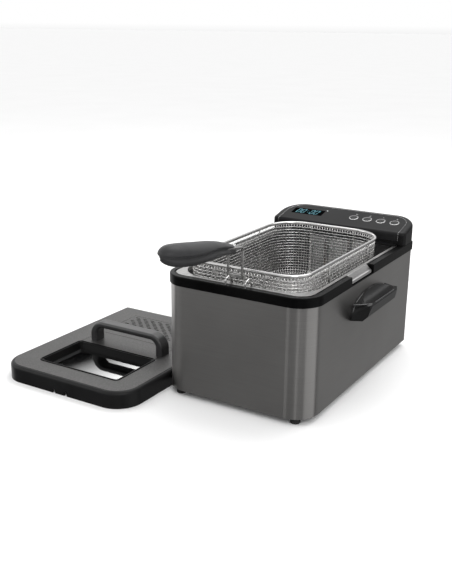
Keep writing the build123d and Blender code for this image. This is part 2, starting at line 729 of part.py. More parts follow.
def lid_handle_screws():
    screws = []
    for x in LID_LEGS:
        head = rod(3.6, (x, LID_LEG_Y, LID_TOP - 4.2), (0, 0, 1), 2.2)
        screws.append(head + rod(1.75, (x, LID_LEG_Y, LID_TOP - 2.4), (0, 0, 1), 13))
    return screws


def vent_column(grow, low, high):
    width, depth = 144.0 + 2 * grow, 76.0 + 2 * grow
    return Pos(*VENT_AREA, low) * extrude(RectangleRounded(width, depth, 5.0), high - low)


def vent_filter():
    return vent_column(-0.4, 14.0, 22.0)


FILTER_SCREWS = [(x, VENT_AREA[1]) for x in (LID_X - 78.0, LID_X + 78.0)]


def filter_cover():
    cover = vent_column(2.0, 12.0, LID_TOP - 2.05) - vent_column(0, 14.0, LID_TOP)
    for x, y in FILTER_SCREWS:
        ear = block((x - 6, x + 6), (y - 6, y + 6), (LID_TOP - 4.6, LID_TOP - 2.05))
        cover += ear - vent_column(0, 0, 40)
        cover -= rod(1.6, (x, y, 10), (0, 0, 1), 20)
    across = (VENT_AREA[1] - 28, VENT_AREA[1] + 28)
    for i in range(-5, 6):
        cover -= block((LID_X + 12 * i - 2, LID_X + 12 * i + 2), across, (10, 15))
    return cover


def filter_screws():
    screws = []
    for x, y in FILTER_SCREWS:
        head = rod(3.0, (x, y, LID_TOP - 6.2), (0, 0, 1), 1.6)
        screws.append(head + rod(1.5, (x, y, LID_TOP - 4.7), (0, 0, 1), 2.6))
    return screws


# ---- Write one file per piece ----
PIECES = {
    "outer_housing": outer_housing(), "base_plate": base_plate(), "feet": feet(), "base_screws": base_screws(),
    "top_collar": top_collar(), "side_handle_right": side_handle(), "side_handle_left": mirrored(side_handle()),
    "handle_screws": handle_screws(), "guide_rails": guide_rails(), "rail_rivets": rail_rivets(),
    "interlock_peg": interlock_peg(),
    "oil_tank": oil_tank(), "tank_lift_tabs": tank_lift_tabs(),
    "head_base": head_base(), "head_cover": head_cover(), "control_panel": control_panel(),
    "display_window": display_window(), "display_module": display_module(), "indicator_led": indicator_led(),
    "control_board": control_board(), "board_screws": board_screws(), "button_bezels": button_bezels(),
    "tact_switches": tact_switches(), "head_screws": head_screws(), "power_relay": power_relay(),
    "terminal_block": terminal_block(), "interlock_switch": interlock_switch(),
    "thermal_cutout": thermal_cutout(), "reset_button": reset_button(), "mains_gland": mains_gland(),
    "heating_element": heating_element(), "element_mount_plate": element_mount_plate(),
    "element_nuts": element_nuts(), "element_clips": element_clips(), "sensor_bulbs": sensor_bulbs(),
    "capillary_tubes": capillary_tubes(),
    "basket_mesh": basket_mesh(), "basket_rim": basket_rim(), "basket_frame": basket_frame(),
    "drain_hooks": drain_hooks(), "handle_bracket": handle_bracket(), "handle_wire": handle_wire(),
    "grip_upper": grip_upper(), "grip_lower": grip_lower(), "grip_screw": grip_screw(),
    "lid_rim": lid_rim(), "lid_top_plate": lid_top_plate(), "window_frame": window_frame(),
    "window_glass": window_glass(), "window_seal": window_seal(), "lid_handle": lid_handle(),
    "lid_handle_screws": lid_handle_screws(), "vent_filter": vent_filter(), "filter_cover": filter_cover(),
    "filter_screws": filter_screws(),
}
for name, x in BUTTONS.items():
    PIECES[name] = push_button(x)

os.makedirs("parts", exist_ok=True)
for name, shape in PIECES.items():
    solids = Compound(children=list(shape)) if isinstance(shape, list) else shape
    export_step(solids, f"parts/{name}.step")
    print(name, "written")
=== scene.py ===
# %% [markdown]
# # A deep fryer and its finishes
# The fryer's parts come ready made and in place: steel body, tank, control head, basket wires and lid.
# This notebook gives every part its finish, and builds the pieces that need finer work than a machined
# part has: the woven basket, the soft grip, the side handles and the lit display.

# %% Load the frame
import math
import bmesh
import bpy
import numpy as np
from mathutils import Matrix, Vector


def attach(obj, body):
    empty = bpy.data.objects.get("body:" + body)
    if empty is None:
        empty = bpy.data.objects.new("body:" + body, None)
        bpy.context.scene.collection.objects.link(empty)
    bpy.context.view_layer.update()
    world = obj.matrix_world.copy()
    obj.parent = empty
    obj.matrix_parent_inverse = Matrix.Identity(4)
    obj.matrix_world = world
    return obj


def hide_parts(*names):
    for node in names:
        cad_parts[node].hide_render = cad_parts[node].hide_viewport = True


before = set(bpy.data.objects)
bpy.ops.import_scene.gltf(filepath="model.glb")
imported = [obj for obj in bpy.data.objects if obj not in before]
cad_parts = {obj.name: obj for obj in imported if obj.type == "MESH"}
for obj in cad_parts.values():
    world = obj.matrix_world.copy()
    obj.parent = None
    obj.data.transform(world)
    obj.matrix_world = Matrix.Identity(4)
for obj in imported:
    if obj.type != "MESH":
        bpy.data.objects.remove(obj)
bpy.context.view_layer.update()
MM = 0.001

# %% [markdown]
# ## Camera
# The fryer is seen from its front right, a little above. A camera is three turns and a place: it looks
# along its own -Z, so the matrix is built from the direction of view, then rolled by half a degree.

# %% Camera
VIEW_YAW, VIEW_PITCH, VIEW_ROLL = math.radians(31.2105), math.radians(17.7285), math.radians(0.5352)
CAMERA_PLACE, LENS_MM, SENSOR_MM = Vector((0.57398, -1.16280, 0.54182)), 51.647, 36.0


def place_camera():
    """Right and up axes from yaw and pitch, then both turned by the roll about the view direction."""
    ahead = Vector((-math.sin(VIEW_YAW) * math.cos(VIEW_PITCH), math.cos(VIEW_YAW) * math.cos(VIEW_PITCH),
                    -math.sin(VIEW_PITCH)))
    right = Vector((math.cos(VIEW_YAW), math.sin(VIEW_YAW), 0))
    up = right.cross(ahead)
    c, s = math.cos(VIEW_ROLL), math.sin(VIEW_ROLL)
    axes = Matrix((c * right + s * up, c * up - s * right, -ahead)).transposed()
    data = bpy.data.cameras.new("camera")
    data.lens, data.sensor_width = LENS_MM, SENSOR_MM
    camera = bpy.data.objects.new("camera", data)
    camera.matrix_world = Matrix.Translation(CAMERA_PLACE) @ axes.to_4x4()
    bpy.context.scene.collection.objects.link(camera)
    bpy.context.scene.camera = camera


place_camera()
bpy.context.scene.view_settings.view_transform = "Standard"
print("camera at", tuple(round(v, 3) for v in CAMERA_PLACE), "lens", LENS_MM, "mm")

# %% [markdown]
# ## Surfaces as grids
# Every new piece is a grid of points worked out with numpy. A closed grid joins its last row or column
# to the first. Faces are made from index arrays, so no loop runs over the points. A wire or a grip is
# closed at its end by a ring of no radius: its points all fall on one spot and are merged there.

# %% Grid and tube helpers
MERGE_WITHIN = 1e-7


def add_mesh(name, points, faces, smooth=True):
    """Make an object from an (n, 3) array of points and an (m, 4) array of corner numbers.

    Points that fall on one spot are merged, which shuts the ends of wires and the poles of round pieces.
    """
    mesh = bpy.data.meshes.new(name)
    mesh.from_pydata(points, [], faces.tolist())
    shell = bmesh.new()
    shell.from_mesh(mesh)
    bmesh.ops.remove_doubles(shell, verts=shell.verts, dist=MERGE_WITHIN)
    shell.to_mesh(mesh)
    shell.free()
    mesh.polygons.foreach_set("use_smooth", np.full(len(mesh.polygons), smooth))
    mesh.update()
    piece = bpy.data.objects.new(name, mesh)
    bpy.context.scene.collection.objects.link(piece)
    return piece


def grid_faces(rows, columns, close_rows=False, close_columns=True):
    """Corner numbers of the quads between neighbouring rows and columns of a grid."""
    i = np.arange(rows if close_rows else rows - 1)
    j = np.arange(columns if close_columns else columns - 1)
    i, j = np.meshgrid(i, j, indexing="ij")
    i2, j2 = (i + 1) % rows, (j + 1) % columns
    corners = [i * columns + j, i * columns + j2, i2 * columns + j2, i2 * columns + j]
    return np.stack(corners, -1).reshape(-1, 4)


def unit(vectors):
    """Each vector divided by its own length."""
    return vectors / np.maximum(np.linalg.norm(vectors, axis=-1, keepdims=True), 1e-12)


def tubes(paths, side, radius, sides=6, closed=False):
    """Round wires along many paths at once.

    Each ring is centre + radius * (cos a * side + sin a * (along x side)), where along is the
    path's direction and side a direction square to it. A path that isn't closed gets one more ring
    of no radius at each end.
    """
    if closed:
        along = unit(np.roll(paths, -1, axis=1) - np.roll(paths, 1, axis=1))
    else:
        along = unit(np.gradient(paths, axis=1))
    across = unit(side - along * np.sum(side * along, -1, keepdims=True))
    other = np.cross(along, across)
    turn = np.linspace(0, 2 * np.pi, sides, endpoint=False)
    rings = (paths[:, :, None] + radius * (np.cos(turn)[:, None] * across[:, :, None]
                                           + np.sin(turn)[:, None] * other[:, :, None]))
    if not closed:
        first, last = (np.repeat(paths[:, k, None, None], sides, axis=2) for k in (0, -1))
        rings = np.concatenate([first, rings, last], axis=1)
    count, length = rings.shape[:2]
    faces = grid_faces(length, sides, close_rows=closed)
    starts = np.arange(count)[:, None, None] * length * sides
    return rings.reshape(-1, 3), (faces[None] + starts).reshape(-1, 4)


def stack(*parts):
    """Join several (points, faces) pairs into one."""
    sizes = np.cumsum([0] + [len(points) for points, _ in parts])
    return (np.concatenate([points for points, _ in parts]),
            np.concatenate([faces + start for (_, faces), start in zip(parts, sizes)]))


print("a wire with 3 rings of 6 points has", len(tubes(np.eye(3)[None], np.ones(3), 0.1)[1]), "faces")

# %% [markdown]
# ## Finishes
# A finish here is a Principled shader whose colour, roughness and bump come from noise in the object's
# own coordinates. `finish` makes the shader, and small functions add what one finish needs: long
# scratches for brushed steel, grain for moulded plastic, a cloudy tint for metal that has been hot.

# %% Shader helpers
def finish(name, color, roughness, metallic=0.0, **values):
    """A new material with a Principled shader, and a function that adds wired nodes to it."""
    material = bpy.data.materials.new(name)
    material.use_nodes = True
    nodes, links = material.node_tree.nodes, material.node_tree.links
    shader = nodes["Principled BSDF"]
    shader.inputs["Base Color"].default_value = (*color, 1)
    shader.inputs["Roughness"].default_value = roughness
    shader.inputs["Metallic"].default_value = metallic
    for socket, value in values.items():
        shader.inputs[socket.replace("_", " ")].default_value = value

    def add(kind, inputs=(), **settings):
        node = nodes.new("ShaderNode" + kind)
        for key, value in settings.items():
            setattr(node, key, value)
        for key, value in dict(inputs).items():
            if isinstance(value, bpy.types.NodeSocket):
                links.new(value, node.inputs[key])
            else:
                node.inputs[key].default_value = value
        return node

    return material, shader, add, links


def grain(add, scale, stretch=(1, 1, 1), detail=4.0):
    """Noise in object coordinates, scaled per axis: a small stretch value draws it out along that axis."""
    place = add("TexCoord").outputs["Object"]
    mapped = add("Mapping", {"Vector": place, "Scale": stretch}).outputs[0]
    return add("TexNoise", {"Vector": mapped, "Scale": scale, "Detail": detail}).outputs["Fac"]


def between(add, factor, low, high):
    """Map a 0..1 factor to a range of numbers."""
    return add("MapRange", {"Value": factor, "To Min": low, "To Max": high}).outputs[0]


def blend_colors(add, factor, first, second):
    """First colour below a factor of 0.3, second above 0.7, and a straight blend between."""
    ramp = add("ValToRGB", {"Fac": factor})
    ramp.color_ramp.elements[0].position, ramp.color_ramp.elements[1].position = 0.3, 0.7
    ramp.color_ramp.elements[0].color = (*first, 1)
    ramp.color_ramp.elements[1].color = (*second, 1)
    return ramp.outputs[0]


def bump(add, links, shader, height, strength, distance):
    """Tilt the shader's normal by a height field that is at most distance metres deep."""
    node = add("Bump", {"Height": height, "Strength": strength, "Distance": distance})
    links.new(node.outputs[0], shader.inputs["Normal"])


def brushed(name, dark, light, stretch, roughness=(0.28, 0.42), anisotropy=0.5):
    """Metal rubbed along one direction: noise drawn out along it moves colour, roughness and a bump."""
    material, shader, add, links = finish(name, dark, 0.35, 1.0, Anisotropic=anisotropy,
                                          Anisotropic_Rotation=0.25)
    lines = grain(add, 1.0, stretch, 6.0)
    clouds = grain(add, 9.0)
    mixed = add("Math", {0: lines, 1: clouds}, operation="ADD").outputs[0]
    half = add("Math", {0: mixed, 1: 0.5}, operation="MULTIPLY").outputs[0]
    links.new(blend_colors(add, half, dark, light), shader.inputs["Base Color"])
    links.new(between(add, lines, *roughness), shader.inputs["Roughness"])
    bump(add, links, shader, lines, 0.12, 0.00002)
    return material


def moulded(name, color, roughness=(0.35, 0.5), scale=1400.0, depth=0.00003, coat=0.0, shine=0.2):
    """Moulded plastic: a fine spark-eroded grain, with broad cloudy changes in gloss from handling."""
    material, shader, add, links = finish(name, color, 0.4, 0.0, Coat_Weight=coat, Coat_Roughness=0.15,
                                          Specular_IOR_Level=shine)
    pits = grain(add, scale, detail=2.0)
    clouds = grain(add, 14.0)
    light = tuple(min(1.0, c * 1.35 + 0.002) for c in color)
    links.new(blend_colors(add, clouds, color, light), shader.inputs["Base Color"])
    links.new(between(add, clouds, *roughness), shader.inputs["Roughness"])
    bump(add, links, shader, pits, 0.35, depth)
    return material


print("materials so far:", len(bpy.data.materials))

# %% [markdown]
# ## The metals
# The body is a dark, almost black-chromed steel rubbed sideways, so its grain lines run level round the
# body. The lid's plate is the same metal with a finer, grittier surface. Tank and flange are plain
# stainless steel, and inside the tank, below the flange, shade is painted near-black. The basket is
# nickel-plated wire, and the element has blued with heat. The stretch of the noise tells the rubbing's
# direction: LEVEL packs it tightly in height and draws it out sideways, UP_AND_DOWN does so along the
# tank's length, and EVEN has no direction, as on plated wire.

# %% Metals
LEVEL, UP_AND_DOWN, EVEN = (14, 14, 2600), (300, 6, 40), (200, 200, 200)
PLATE_SKIN_LOW, PLATE_SKIN_HIGH = 0.02635, 0.0265
SHADE_TOP, UNSHADED_FROM = 0.1845, 0.1855
body_steel = brushed("body_steel", (0.27, 0.264, 0.259), (0.34, 0.333, 0.327), LEVEL, (0.3, 0.36), 0.8)


def sanded_plate():
    """Bead-blasted steel; below its top skin, as in the slots and grooves, it is near-black and not metal:
    painted shade in the recesses.
    """
    material, shader, add, links = finish("lid_steel", (0.12, 0.118, 0.116), 0.48, 1.0)
    place = add("TexCoord").outputs["Object"]
    height = add("SeparateXYZ", {"Vector": place}).outputs["Z"]
    limits = {"From Min": PLATE_SKIN_LOW, "From Max": PLATE_SKIN_HIGH}
    above_painted_shade = add("MapRange", {"Value": height, **limits}).outputs[0]
    sand = grain(add, 620.0, detail=3.0)
    plate = blend_colors(add, sand, (0.075, 0.074, 0.073), (0.142, 0.14, 0.138))
    # Below the plate's top skin the colour is near-black and not metallic: painted shade in the slots and
    # grooves.
    color = add("Mix", {"Factor": above_painted_shade, "A": (0.004, 0.004, 0.004, 1), "B": plate}, data_type="RGBA")
    links.new(color.outputs[2], shader.inputs["Base Color"])
    links.new(above_painted_shade, shader.inputs["Metallic"])
    links.new(between(add, sand, 0.44, 0.56), shader.inputs["Roughness"])
    bump(add, links, shader, sand, 0.2, 0.00004)
    return material


lid_steel = sanded_plate()
tank_steel = brushed("tank_steel", (0.5, 0.495, 0.49), (0.66, 0.655, 0.65), UP_AND_DOWN, (0.22, 0.36))


def plated(name, dark, light, roughness):
    """Plating on wire and small parts: the same in every direction."""
    return brushed(name, dark, light, EVEN, roughness, 0.0)


wire_nickel = plated("wire_nickel", (0.72, 0.715, 0.705), (0.86, 0.855, 0.845), (0.12, 0.2))
rim_nickel = plated("rim_nickel", (0.5, 0.497, 0.492), (0.64, 0.636, 0.63), (0.14, 0.22))
rod_nickel = plated("rod_nickel", (0.4, 0.397, 0.392), (0.52, 0.516, 0.51), (0.14, 0.22))
bezel_chrome = plated("bezel_chrome", (0.45, 0.45, 0.45), (0.55, 0.55, 0.55), (0.06, 0.12))
zinc = brushed("zinc_plating", (0.42, 0.43, 0.42), (0.58, 0.59, 0.56), (250, 250, 250), (0.3, 0.45), 0.0)


def heated_steel():
    """Element tube: straw and blue temper colours in slow clouds over dull steel."""
    material, shader, add, links = finish("heated_steel", (0.2, 0.19, 0.18), 0.45, 1.0)
    clouds = grain(add, 22.0)
    links.new(blend_colors(add, clouds, (0.13, 0.14, 0.17), (0.3, 0.25, 0.19)), shader.inputs["Base Color"])
    links.new(between(add, clouds, 0.35, 0.55), shader.inputs["Roughness"])
    bump(add, links, shader, grain(add, 900.0), 0.3, 0.00004)
    return material


def tank_with_painted_shade():
    """The tank's steel, near-black below a set height just under the flange: painted shade inside the tank.
    """
    material, shader, add, links = finish("shaded_tank", (0.5, 0.495, 0.49), 0.3, 1.0, Anisotropic=0.4)
    place = add("TexCoord").outputs["Object"]
    height = add("SeparateXYZ", {"Vector": place}).outputs["Z"]
    unshaded = add("MapRange", {"Value": height, "From Min": SHADE_TOP, "From Max": UNSHADED_FROM}).outputs[0]
    lines = grain(add, 1.0, UP_AND_DOWN, 6.0)
    metal = blend_colors(add, lines, (0.33, 0.327, 0.323), (0.43, 0.426, 0.42))
    # Near-black below the flange and not metallic: painted shade inside the tank.
    painted_shade = blend_colors(add, grain(add, 60.0), (0.025, 0.025, 0.026), (0.045, 0.045, 0.046))
    color = add("Mix", {"Factor": unshaded, "A": painted_shade, "B": metal}, data_type="RGBA")
    links.new(color.outputs[2], shader.inputs["Base Color"])
    links.new(unshaded, shader.inputs["Metallic"])
    links.new(between(add, lines, 0.24, 0.36), shader.inputs["Roughness"])
    bump(add, links, shader, lines, 0.2, 0.00003)
    return material


element_steel = heated_steel()
shaded_tank = tank_with_painted_shade()
print("metals:", [m.name for m in bpy.data.materials])

# %% [markdown]
# ## Plastics, rubber, glass
# Collar, handles, rim and head are black plastics with a fine grain, some a shade lighter than others. The
# control panel is smoother, the grip a soft-touch charcoal, and the lid's window is glass tinted
# near-black:
# painted shade for the dark under the lid that shows through it. How much light a plastic gives back
# straight, as a shine, counts for more here than its own black.

# %% Plastics and the rest
FINE = (1600.0, 0.00001)
black_plastic = moulded("black_plastic", (0.001, 0.001, 0.00105), (0.28, 0.36), shine=0.06)
handle_plastic = moulded("handle_plastic", (0.005, 0.005, 0.0052), (0.26, 0.34), *FINE, coat=0.05)
rim_plastic = moulded("rim_plastic", (0.02, 0.02, 0.021), (0.2, 0.28), *FINE, shine=0.6)
lid_handle_plastic = moulded("lid_handle_plastic", (0.012, 0.012, 0.0125), (0.34, 0.42), *FINE, shine=0.7)
lid_rim_plastic = moulded("lid_rim_plastic", (0.005, 0.005, 0.0052), (0.34, 0.42), 1400.0, 0.00002,
                          shine=0.18)
head_plastic = moulded("head_plastic", (0.004, 0.004, 0.0042), (0.3, 0.38), shine=0.12)
panel_plastic = moulded("panel_plastic", (0.009, 0.009, 0.0094), (0.38, 0.46), 2600.0, 0.00001, shine=0.08)
grip_plastic = moulded("grip_plastic", (0.022, 0.022, 0.023), (0.4, 0.5), 1100.0, 0.00002)
button_plastic = moulded("button_plastic", (0.004, 0.004, 0.0042), (0.2, 0.3), 2200.0, 0.00001)
rubber = moulded("rubber", (0.012, 0.012, 0.012), (0.6, 0.75), 700.0, 0.00005)
pale_plastic = moulded("pale_plastic", (0.62, 0.61, 0.57), (0.4, 0.55), 900.0)
red_plastic = moulded("red_plastic", (0.5, 0.03, 0.02), (0.3, 0.4), 1200.0)
board_green = moulded("board_green", (0.01, 0.09, 0.035), (0.3, 0.45), 600.0)
felt = moulded("felt", (0.02, 0.02, 0.021), (0.85, 0.95), 420.0, 0.0004)
lens_smoke = moulded("lens_smoke", (0.001, 0.001, 0.0012), (0.1, 0.16), 300.0, 0.000002, shine=0.0)


def shade_tinted_glass():
    """Toughened glass with faint ripples from tempering, tinted near-black: painted shade for what lies
    under the lid.
    """
    # The near-black tint of the glass is painted shade: it darkens what shows through from under the lid.
    material, shader, add, links = finish("window_glass", (0.02, 0.021, 0.022), 0.03, 0.0,
                                          Transmission_Weight=1.0, IOR=1.5)
    ripple = grain(add, 16.0, detail=1.0)
    links.new(between(add, ripple, 0.02, 0.05), shader.inputs["Roughness"])
    bump(add, links, shader, ripple, 0.1, 0.0001)
    return material


def lit(name, color, strength):
    """Lamp under a diffuser: the glow is uneven, brighter where the lamp sits."""
    material, shader, add, links = finish(name, color, 0.4)
    glow = between(add, grain(add, 260.0), 0.8 * strength, 1.2 * strength)
    shader.inputs["Emission Color"].default_value = (*color, 1)
    links.new(glow, shader.inputs["Emission Strength"])
    return material


window_glass = shade_tinted_glass()
digit_glow = lit("digit_glow", (0.14, 0.40, 0.48), 0.8)
lamp_glow = lit("lamp_glow", (0.75, 0.8, 0.8), 0.6)
print("materials now:", len(bpy.data.materials))

# %% [markdown]
# ## Give each carried part its finish
# A part that comes from the frame keeps its shape, and only its material slots change.

# %% Assign finishes
FINISHES = {
    body_steel: ["outer_housing"],
    lid_steel: ["lid_top_plate"],
    shaded_tank: ["oil_tank"],
    tank_steel: ["tank_lift_tabs", "guide_rails", "element_mount_plate", "element_clips", "sensor_bulbs",
                 "capillary_tubes", "handle_bracket"],
    wire_nickel: ["basket_mesh", "basket_frame"],
    rim_nickel: ["basket_rim"],
    rod_nickel: ["drain_hooks", "handle_wire"],
    bezel_chrome: ["button_bezels"],
    zinc: ["base_screws", "handle_screws", "rail_rivets", "head_screws", "board_screws", "element_nuts",
           "grip_screw", "lid_handle_screws", "filter_screws"],
    element_steel: ["heating_element"],
    lid_rim_plastic: ["lid_rim"],
    black_plastic: ["top_collar", "base_plate", "filter_cover", "mains_gland", "interlock_peg",
                    "window_frame", "interlock_switch"],
    handle_plastic: ["side_handle_right", "side_handle_left"],
    lid_handle_plastic: ["lid_handle"],
    head_plastic: ["head_base", "head_cover"],
    panel_plastic: ["control_panel"],
    button_plastic: ["power_button", "timer_button", "minus_button", "plus_button"],
    grip_plastic: ["grip_upper", "grip_lower"],
    rubber: ["feet", "window_seal"],
    pale_plastic: ["power_relay", "terminal_block", "thermal_cutout", "tact_switches"],
    red_plastic: ["reset_button"],
    board_green: ["control_board"],
    felt: ["vent_filter"],
    lens_smoke: ["display_window", "display_module"],
    lamp_glow: ["indicator_led"],
    window_glass: ["window_glass"],
}


def wear(part, material):
    """Give a part one material in place of those it has."""
    part.data.materials.clear()
    part.data.materials.append(material)


for material, names in FINISHES.items():
    for name in names:
        wear(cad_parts[name], material)
left_over = sorted(set(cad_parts) - {n for names in FINISHES.values() for n in names})
print("parts without a finish:", left_over)

# %% [markdown]
# ## The woven basket
# A fryer's basket is pressed from woven wire cloth, so every wire passes over one neighbour and under the
# next. The wall is a table of crossings: column i runs round the rounded outline, row k runs down the wall
# and over the bottom edge. At crossing (i, k) one set of wires steps out by (-1)^(i+k) times half a wire,
# and the other set steps in by the same amount, which is the whole of the weave.

# %% Basket outline and wall
WIRE, STEP, PITCH, WIRE_SIDES = 0.55 * MM, 0.5 * MM, 4.8 * MM, 5
HALF_X, FRONT_Y, BACK_Y = 95.7 * MM, -175.7 * MM, 133.5 * MM
CORNER, BACK_CORNER, EDGE = 33.0 * MM, 53.0 * MM, 11.0 * MM
WALL_TOP, FLOOR_Z = 209.0 * MM, 120.0 * MM


def rounded_outline(count, half_x, half_y, front_r, back_r):
    """Places and outward directions round a rounded rectangle, evenly spaced along its full length.

    The outline is four straight sides and four quarter circles. A point's share of the full length
    says which of the eight it is on and how far along. On a side it lies between two corner centres
    moved out by their radii; on a quarter circle the outward direction turns through a right angle.
    """
    radius = np.array([back_r, back_r, front_r, front_r])
    centres = np.array([(1, 1), (-1, 1), (-1, -1), (1, -1)]) * ((half_x, half_y) - radius[:, None])
    facing = np.arange(4) * np.pi / 2
    out = np.stack([np.cos(facing), np.sin(facing)], -1)
    begin = np.roll(centres, 1, axis=0) + out * np.roll(radius, 1)[:, None]
    end = centres + out * radius[:, None]
    lengths = np.stack([np.linalg.norm(end - begin, axis=1), radius * np.pi / 2], -1).ravel()
    ends = np.cumsum(lengths)
    s = (np.arange(count) + 0.5) / count * ends[-1]
    part = np.searchsorted(ends, s)
    t = ((s - (ends[part] - lengths[part])) / lengths[part])[:, None]
    k, curved = part // 2, (part % 2 == 1)[:, None]
    angle = facing[k][:, None] + np.where(curved, t, 0) * np.pi / 2
    outward = np.concatenate([np.cos(angle), np.sin(angle)], -1)
    place = np.where(curved, centres[k] + outward * radius[k][:, None], begin[k] + (end[k] - begin[k]) * t)
    return place, outward


def basket_wall():
    """Uprights and level rings of the wall; the last rows follow the quarter bend into the floor.

    At bend angle b the wall has come in by EDGE * (1 - cos b) and down by EDGE * sin b, and its
    outward direction is cos b * out - sin b * up. Each crossing is moved along that direction.
    """
    columns = 196
    place, out = rounded_outline(columns, HALF_X, (BACK_Y - FRONT_Y) / 2, CORNER, BACK_CORNER)
    place = place + (0, (BACK_Y + FRONT_Y) / 2)
    rows = 17
    level = np.linspace(WALL_TOP, FLOOR_Z + EDGE, rows)
    bend = np.radians([25, 50, 75])
    inward = np.concatenate([np.zeros(rows), EDGE * (1 - np.cos(bend))])
    height = np.concatenate([level, FLOOR_Z + EDGE * (1 - np.sin(bend))])
    lean = np.concatenate([np.zeros(rows), bend])
    out3 = np.concatenate([out, np.zeros((columns, 1))], 1)
    middle = np.concatenate([place, np.zeros((columns, 1))], 1)[:, None] - inward[:, None] * out3[:, None]
    middle[:, :, 2] = height
    normal = np.cos(lean)[:, None] * out3[:, None] - np.sin(lean)[:, None] * np.array([0, 0, 1.0])
    sign = (-1.0) ** (np.arange(columns)[:, None] + np.arange(len(height)))
    shift = STEP * sign[:, :, None] * normal
    around = np.stack([-out[:, 1], out[:, 0], np.zeros(columns)], -1)[:, None] + np.zeros(middle.shape)
    uprights = tubes(middle + shift, around, WIRE, WIRE_SIDES)
    level_paths, level_sides = np.swapaxes(middle - shift, 0, 1), np.swapaxes(normal, 0, 1)
    rings = tubes(level_paths, level_sides, WIRE, WIRE_SIDES, closed=True)
    return add_mesh("basket_wall", *stack(uprights, rings))


wall = basket_wall()
print("basket wall quads:", len(wall.data.polygons))

# %% [markdown]
# The floor of the cloth is plain weave: level wires across and along, one set up where the other is down.
# Every wire is as long as the rounded outline allows at its own place, so the same number of crossings is
# spread along each of them.

# %% Basket floor
def half_width_at(y, half_x, half_y):
    """How far the floor's outline reaches to the side at each y: full width, less in the corners."""
    corner = np.where(y > 0, BACK_CORNER, CORNER) - EDGE
    over = np.maximum(np.abs(y) - (half_y - corner), 0)
    return half_x - corner + np.sqrt(np.maximum(corner ** 2 - over ** 2, 0))


def reach_at(x, half_x, half_y, corner):
    """How far the outline reaches to the front or the back at each x."""
    over = np.maximum(np.abs(x) - (half_x - corner), 0)
    return half_y - corner + np.sqrt(np.maximum(corner ** 2 - over ** 2, 0))


def basket_floor():
    """Wires along X and along Y, each cut off where it meets the inset outline."""
    half_x, half_y = HALF_X - EDGE, (BACK_Y - FRONT_Y) / 2 - EDGE
    middle = np.array([0, (BACK_Y + FRONT_Y) / 2, FLOOR_Z])
    nx, ny = int(2 * half_x / PITCH), int(2 * half_y / PITCH)
    x, y = (np.arange(nx) + 0.5 - nx / 2) * PITCH, (np.arange(ny) + 0.5 - ny / 2) * PITCH
    lift = STEP * (-1.0) ** (np.arange(ny)[:, None] + np.arange(nx))
    wide = half_width_at(y, half_x, half_y)[:, None]
    back = reach_at(x, half_x, half_y, BACK_CORNER - EDGE)
    front = reach_at(x, half_x, half_y, CORNER - EDGE)
    across = np.stack([np.clip(x, -wide, wide), np.repeat(y[:, None], nx, 1), lift], -1)
    along = np.stack([np.repeat(x[None], ny, 0), np.clip(y[:, None], -front, back), -lift], -1)
    across[:, 0, 0], across[:, -1, 0] = -wide[:, 0], wide[:, 0]
    along[0, :, 1], along[-1, :, 1] = -front, back
    along = np.swapaxes(along, 0, 1)
    side_y = np.broadcast_to(np.array([0, 1.0, 0]), across.shape)
    side_x = np.broadcast_to(np.array([1.0, 0, 0]), along.shape)
    wires = stack(tubes(across + middle, side_y, WIRE, WIRE_SIDES),
                  tubes(along + middle, side_x, WIRE, WIRE_SIDES))
    return add_mesh("basket_floor", *wires)


floor_cloth = basket_floor()
for piece in (wall, floor_cloth):
    wear(piece, wire_nickel)
    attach(piece, "basket")
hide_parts("basket_mesh")
print("basket floor quads:", len(floor_cloth.data.polygons))

# %% [markdown]
# ## The grip
# The basket's grip is two moulded shells that meet in a crease along each side. Its shape is a line of
# oval sections whose middle height, half height and half width change smoothly from the narrow neck to
# the broad end. The crease is a groove cut to a depth that falls off as a bell curve with the height
# above or below the joint line.

# %% Grip
GRIP_X = -6.1
GRIP_Y = [-196, -200, -210, -228, -250, -273, -297, -319, -338, -351, -358.5]
GRIP_MIDDLE = [244.8, 245.4, 247.6, 251.6, 255, 257, 259.6, 263.4, 267, 269.4, 270.4]
GRIP_HALF_HEIGHT = [6.8, 7.6, 8.8, 10.4, 12.2, 14, 15.6, 15.6, 14.6, 13.4, 12.6]
GRIP_HALF_WIDTH = [10.8, 12.6, 15.4, 18, 19.8, 21, 21, 20.4, 18.6, 16.8, 15.6]
CREASE_Y = [-180, -198, -224, -248, -273, -297, -319, -340, -370]
CREASE_Z = [245.4, 247.4, 254.2, 258.6, 260, 261.2, 263.8, 267, 272]


def smooth_curve(at, places, values):
    """Straight steps between stations, then averaged over a short window so that no station shows."""
    order = np.argsort(places)
    known, value = np.array(places, float)[order], np.array(values, float)[order]
    window = np.linspace(-7, 7, 15)
    weight = np.exp(-(window / 4.0) ** 2)
    spread = np.interp(at[:, None] + window, known, value)
    return spread @ weight / weight.sum()


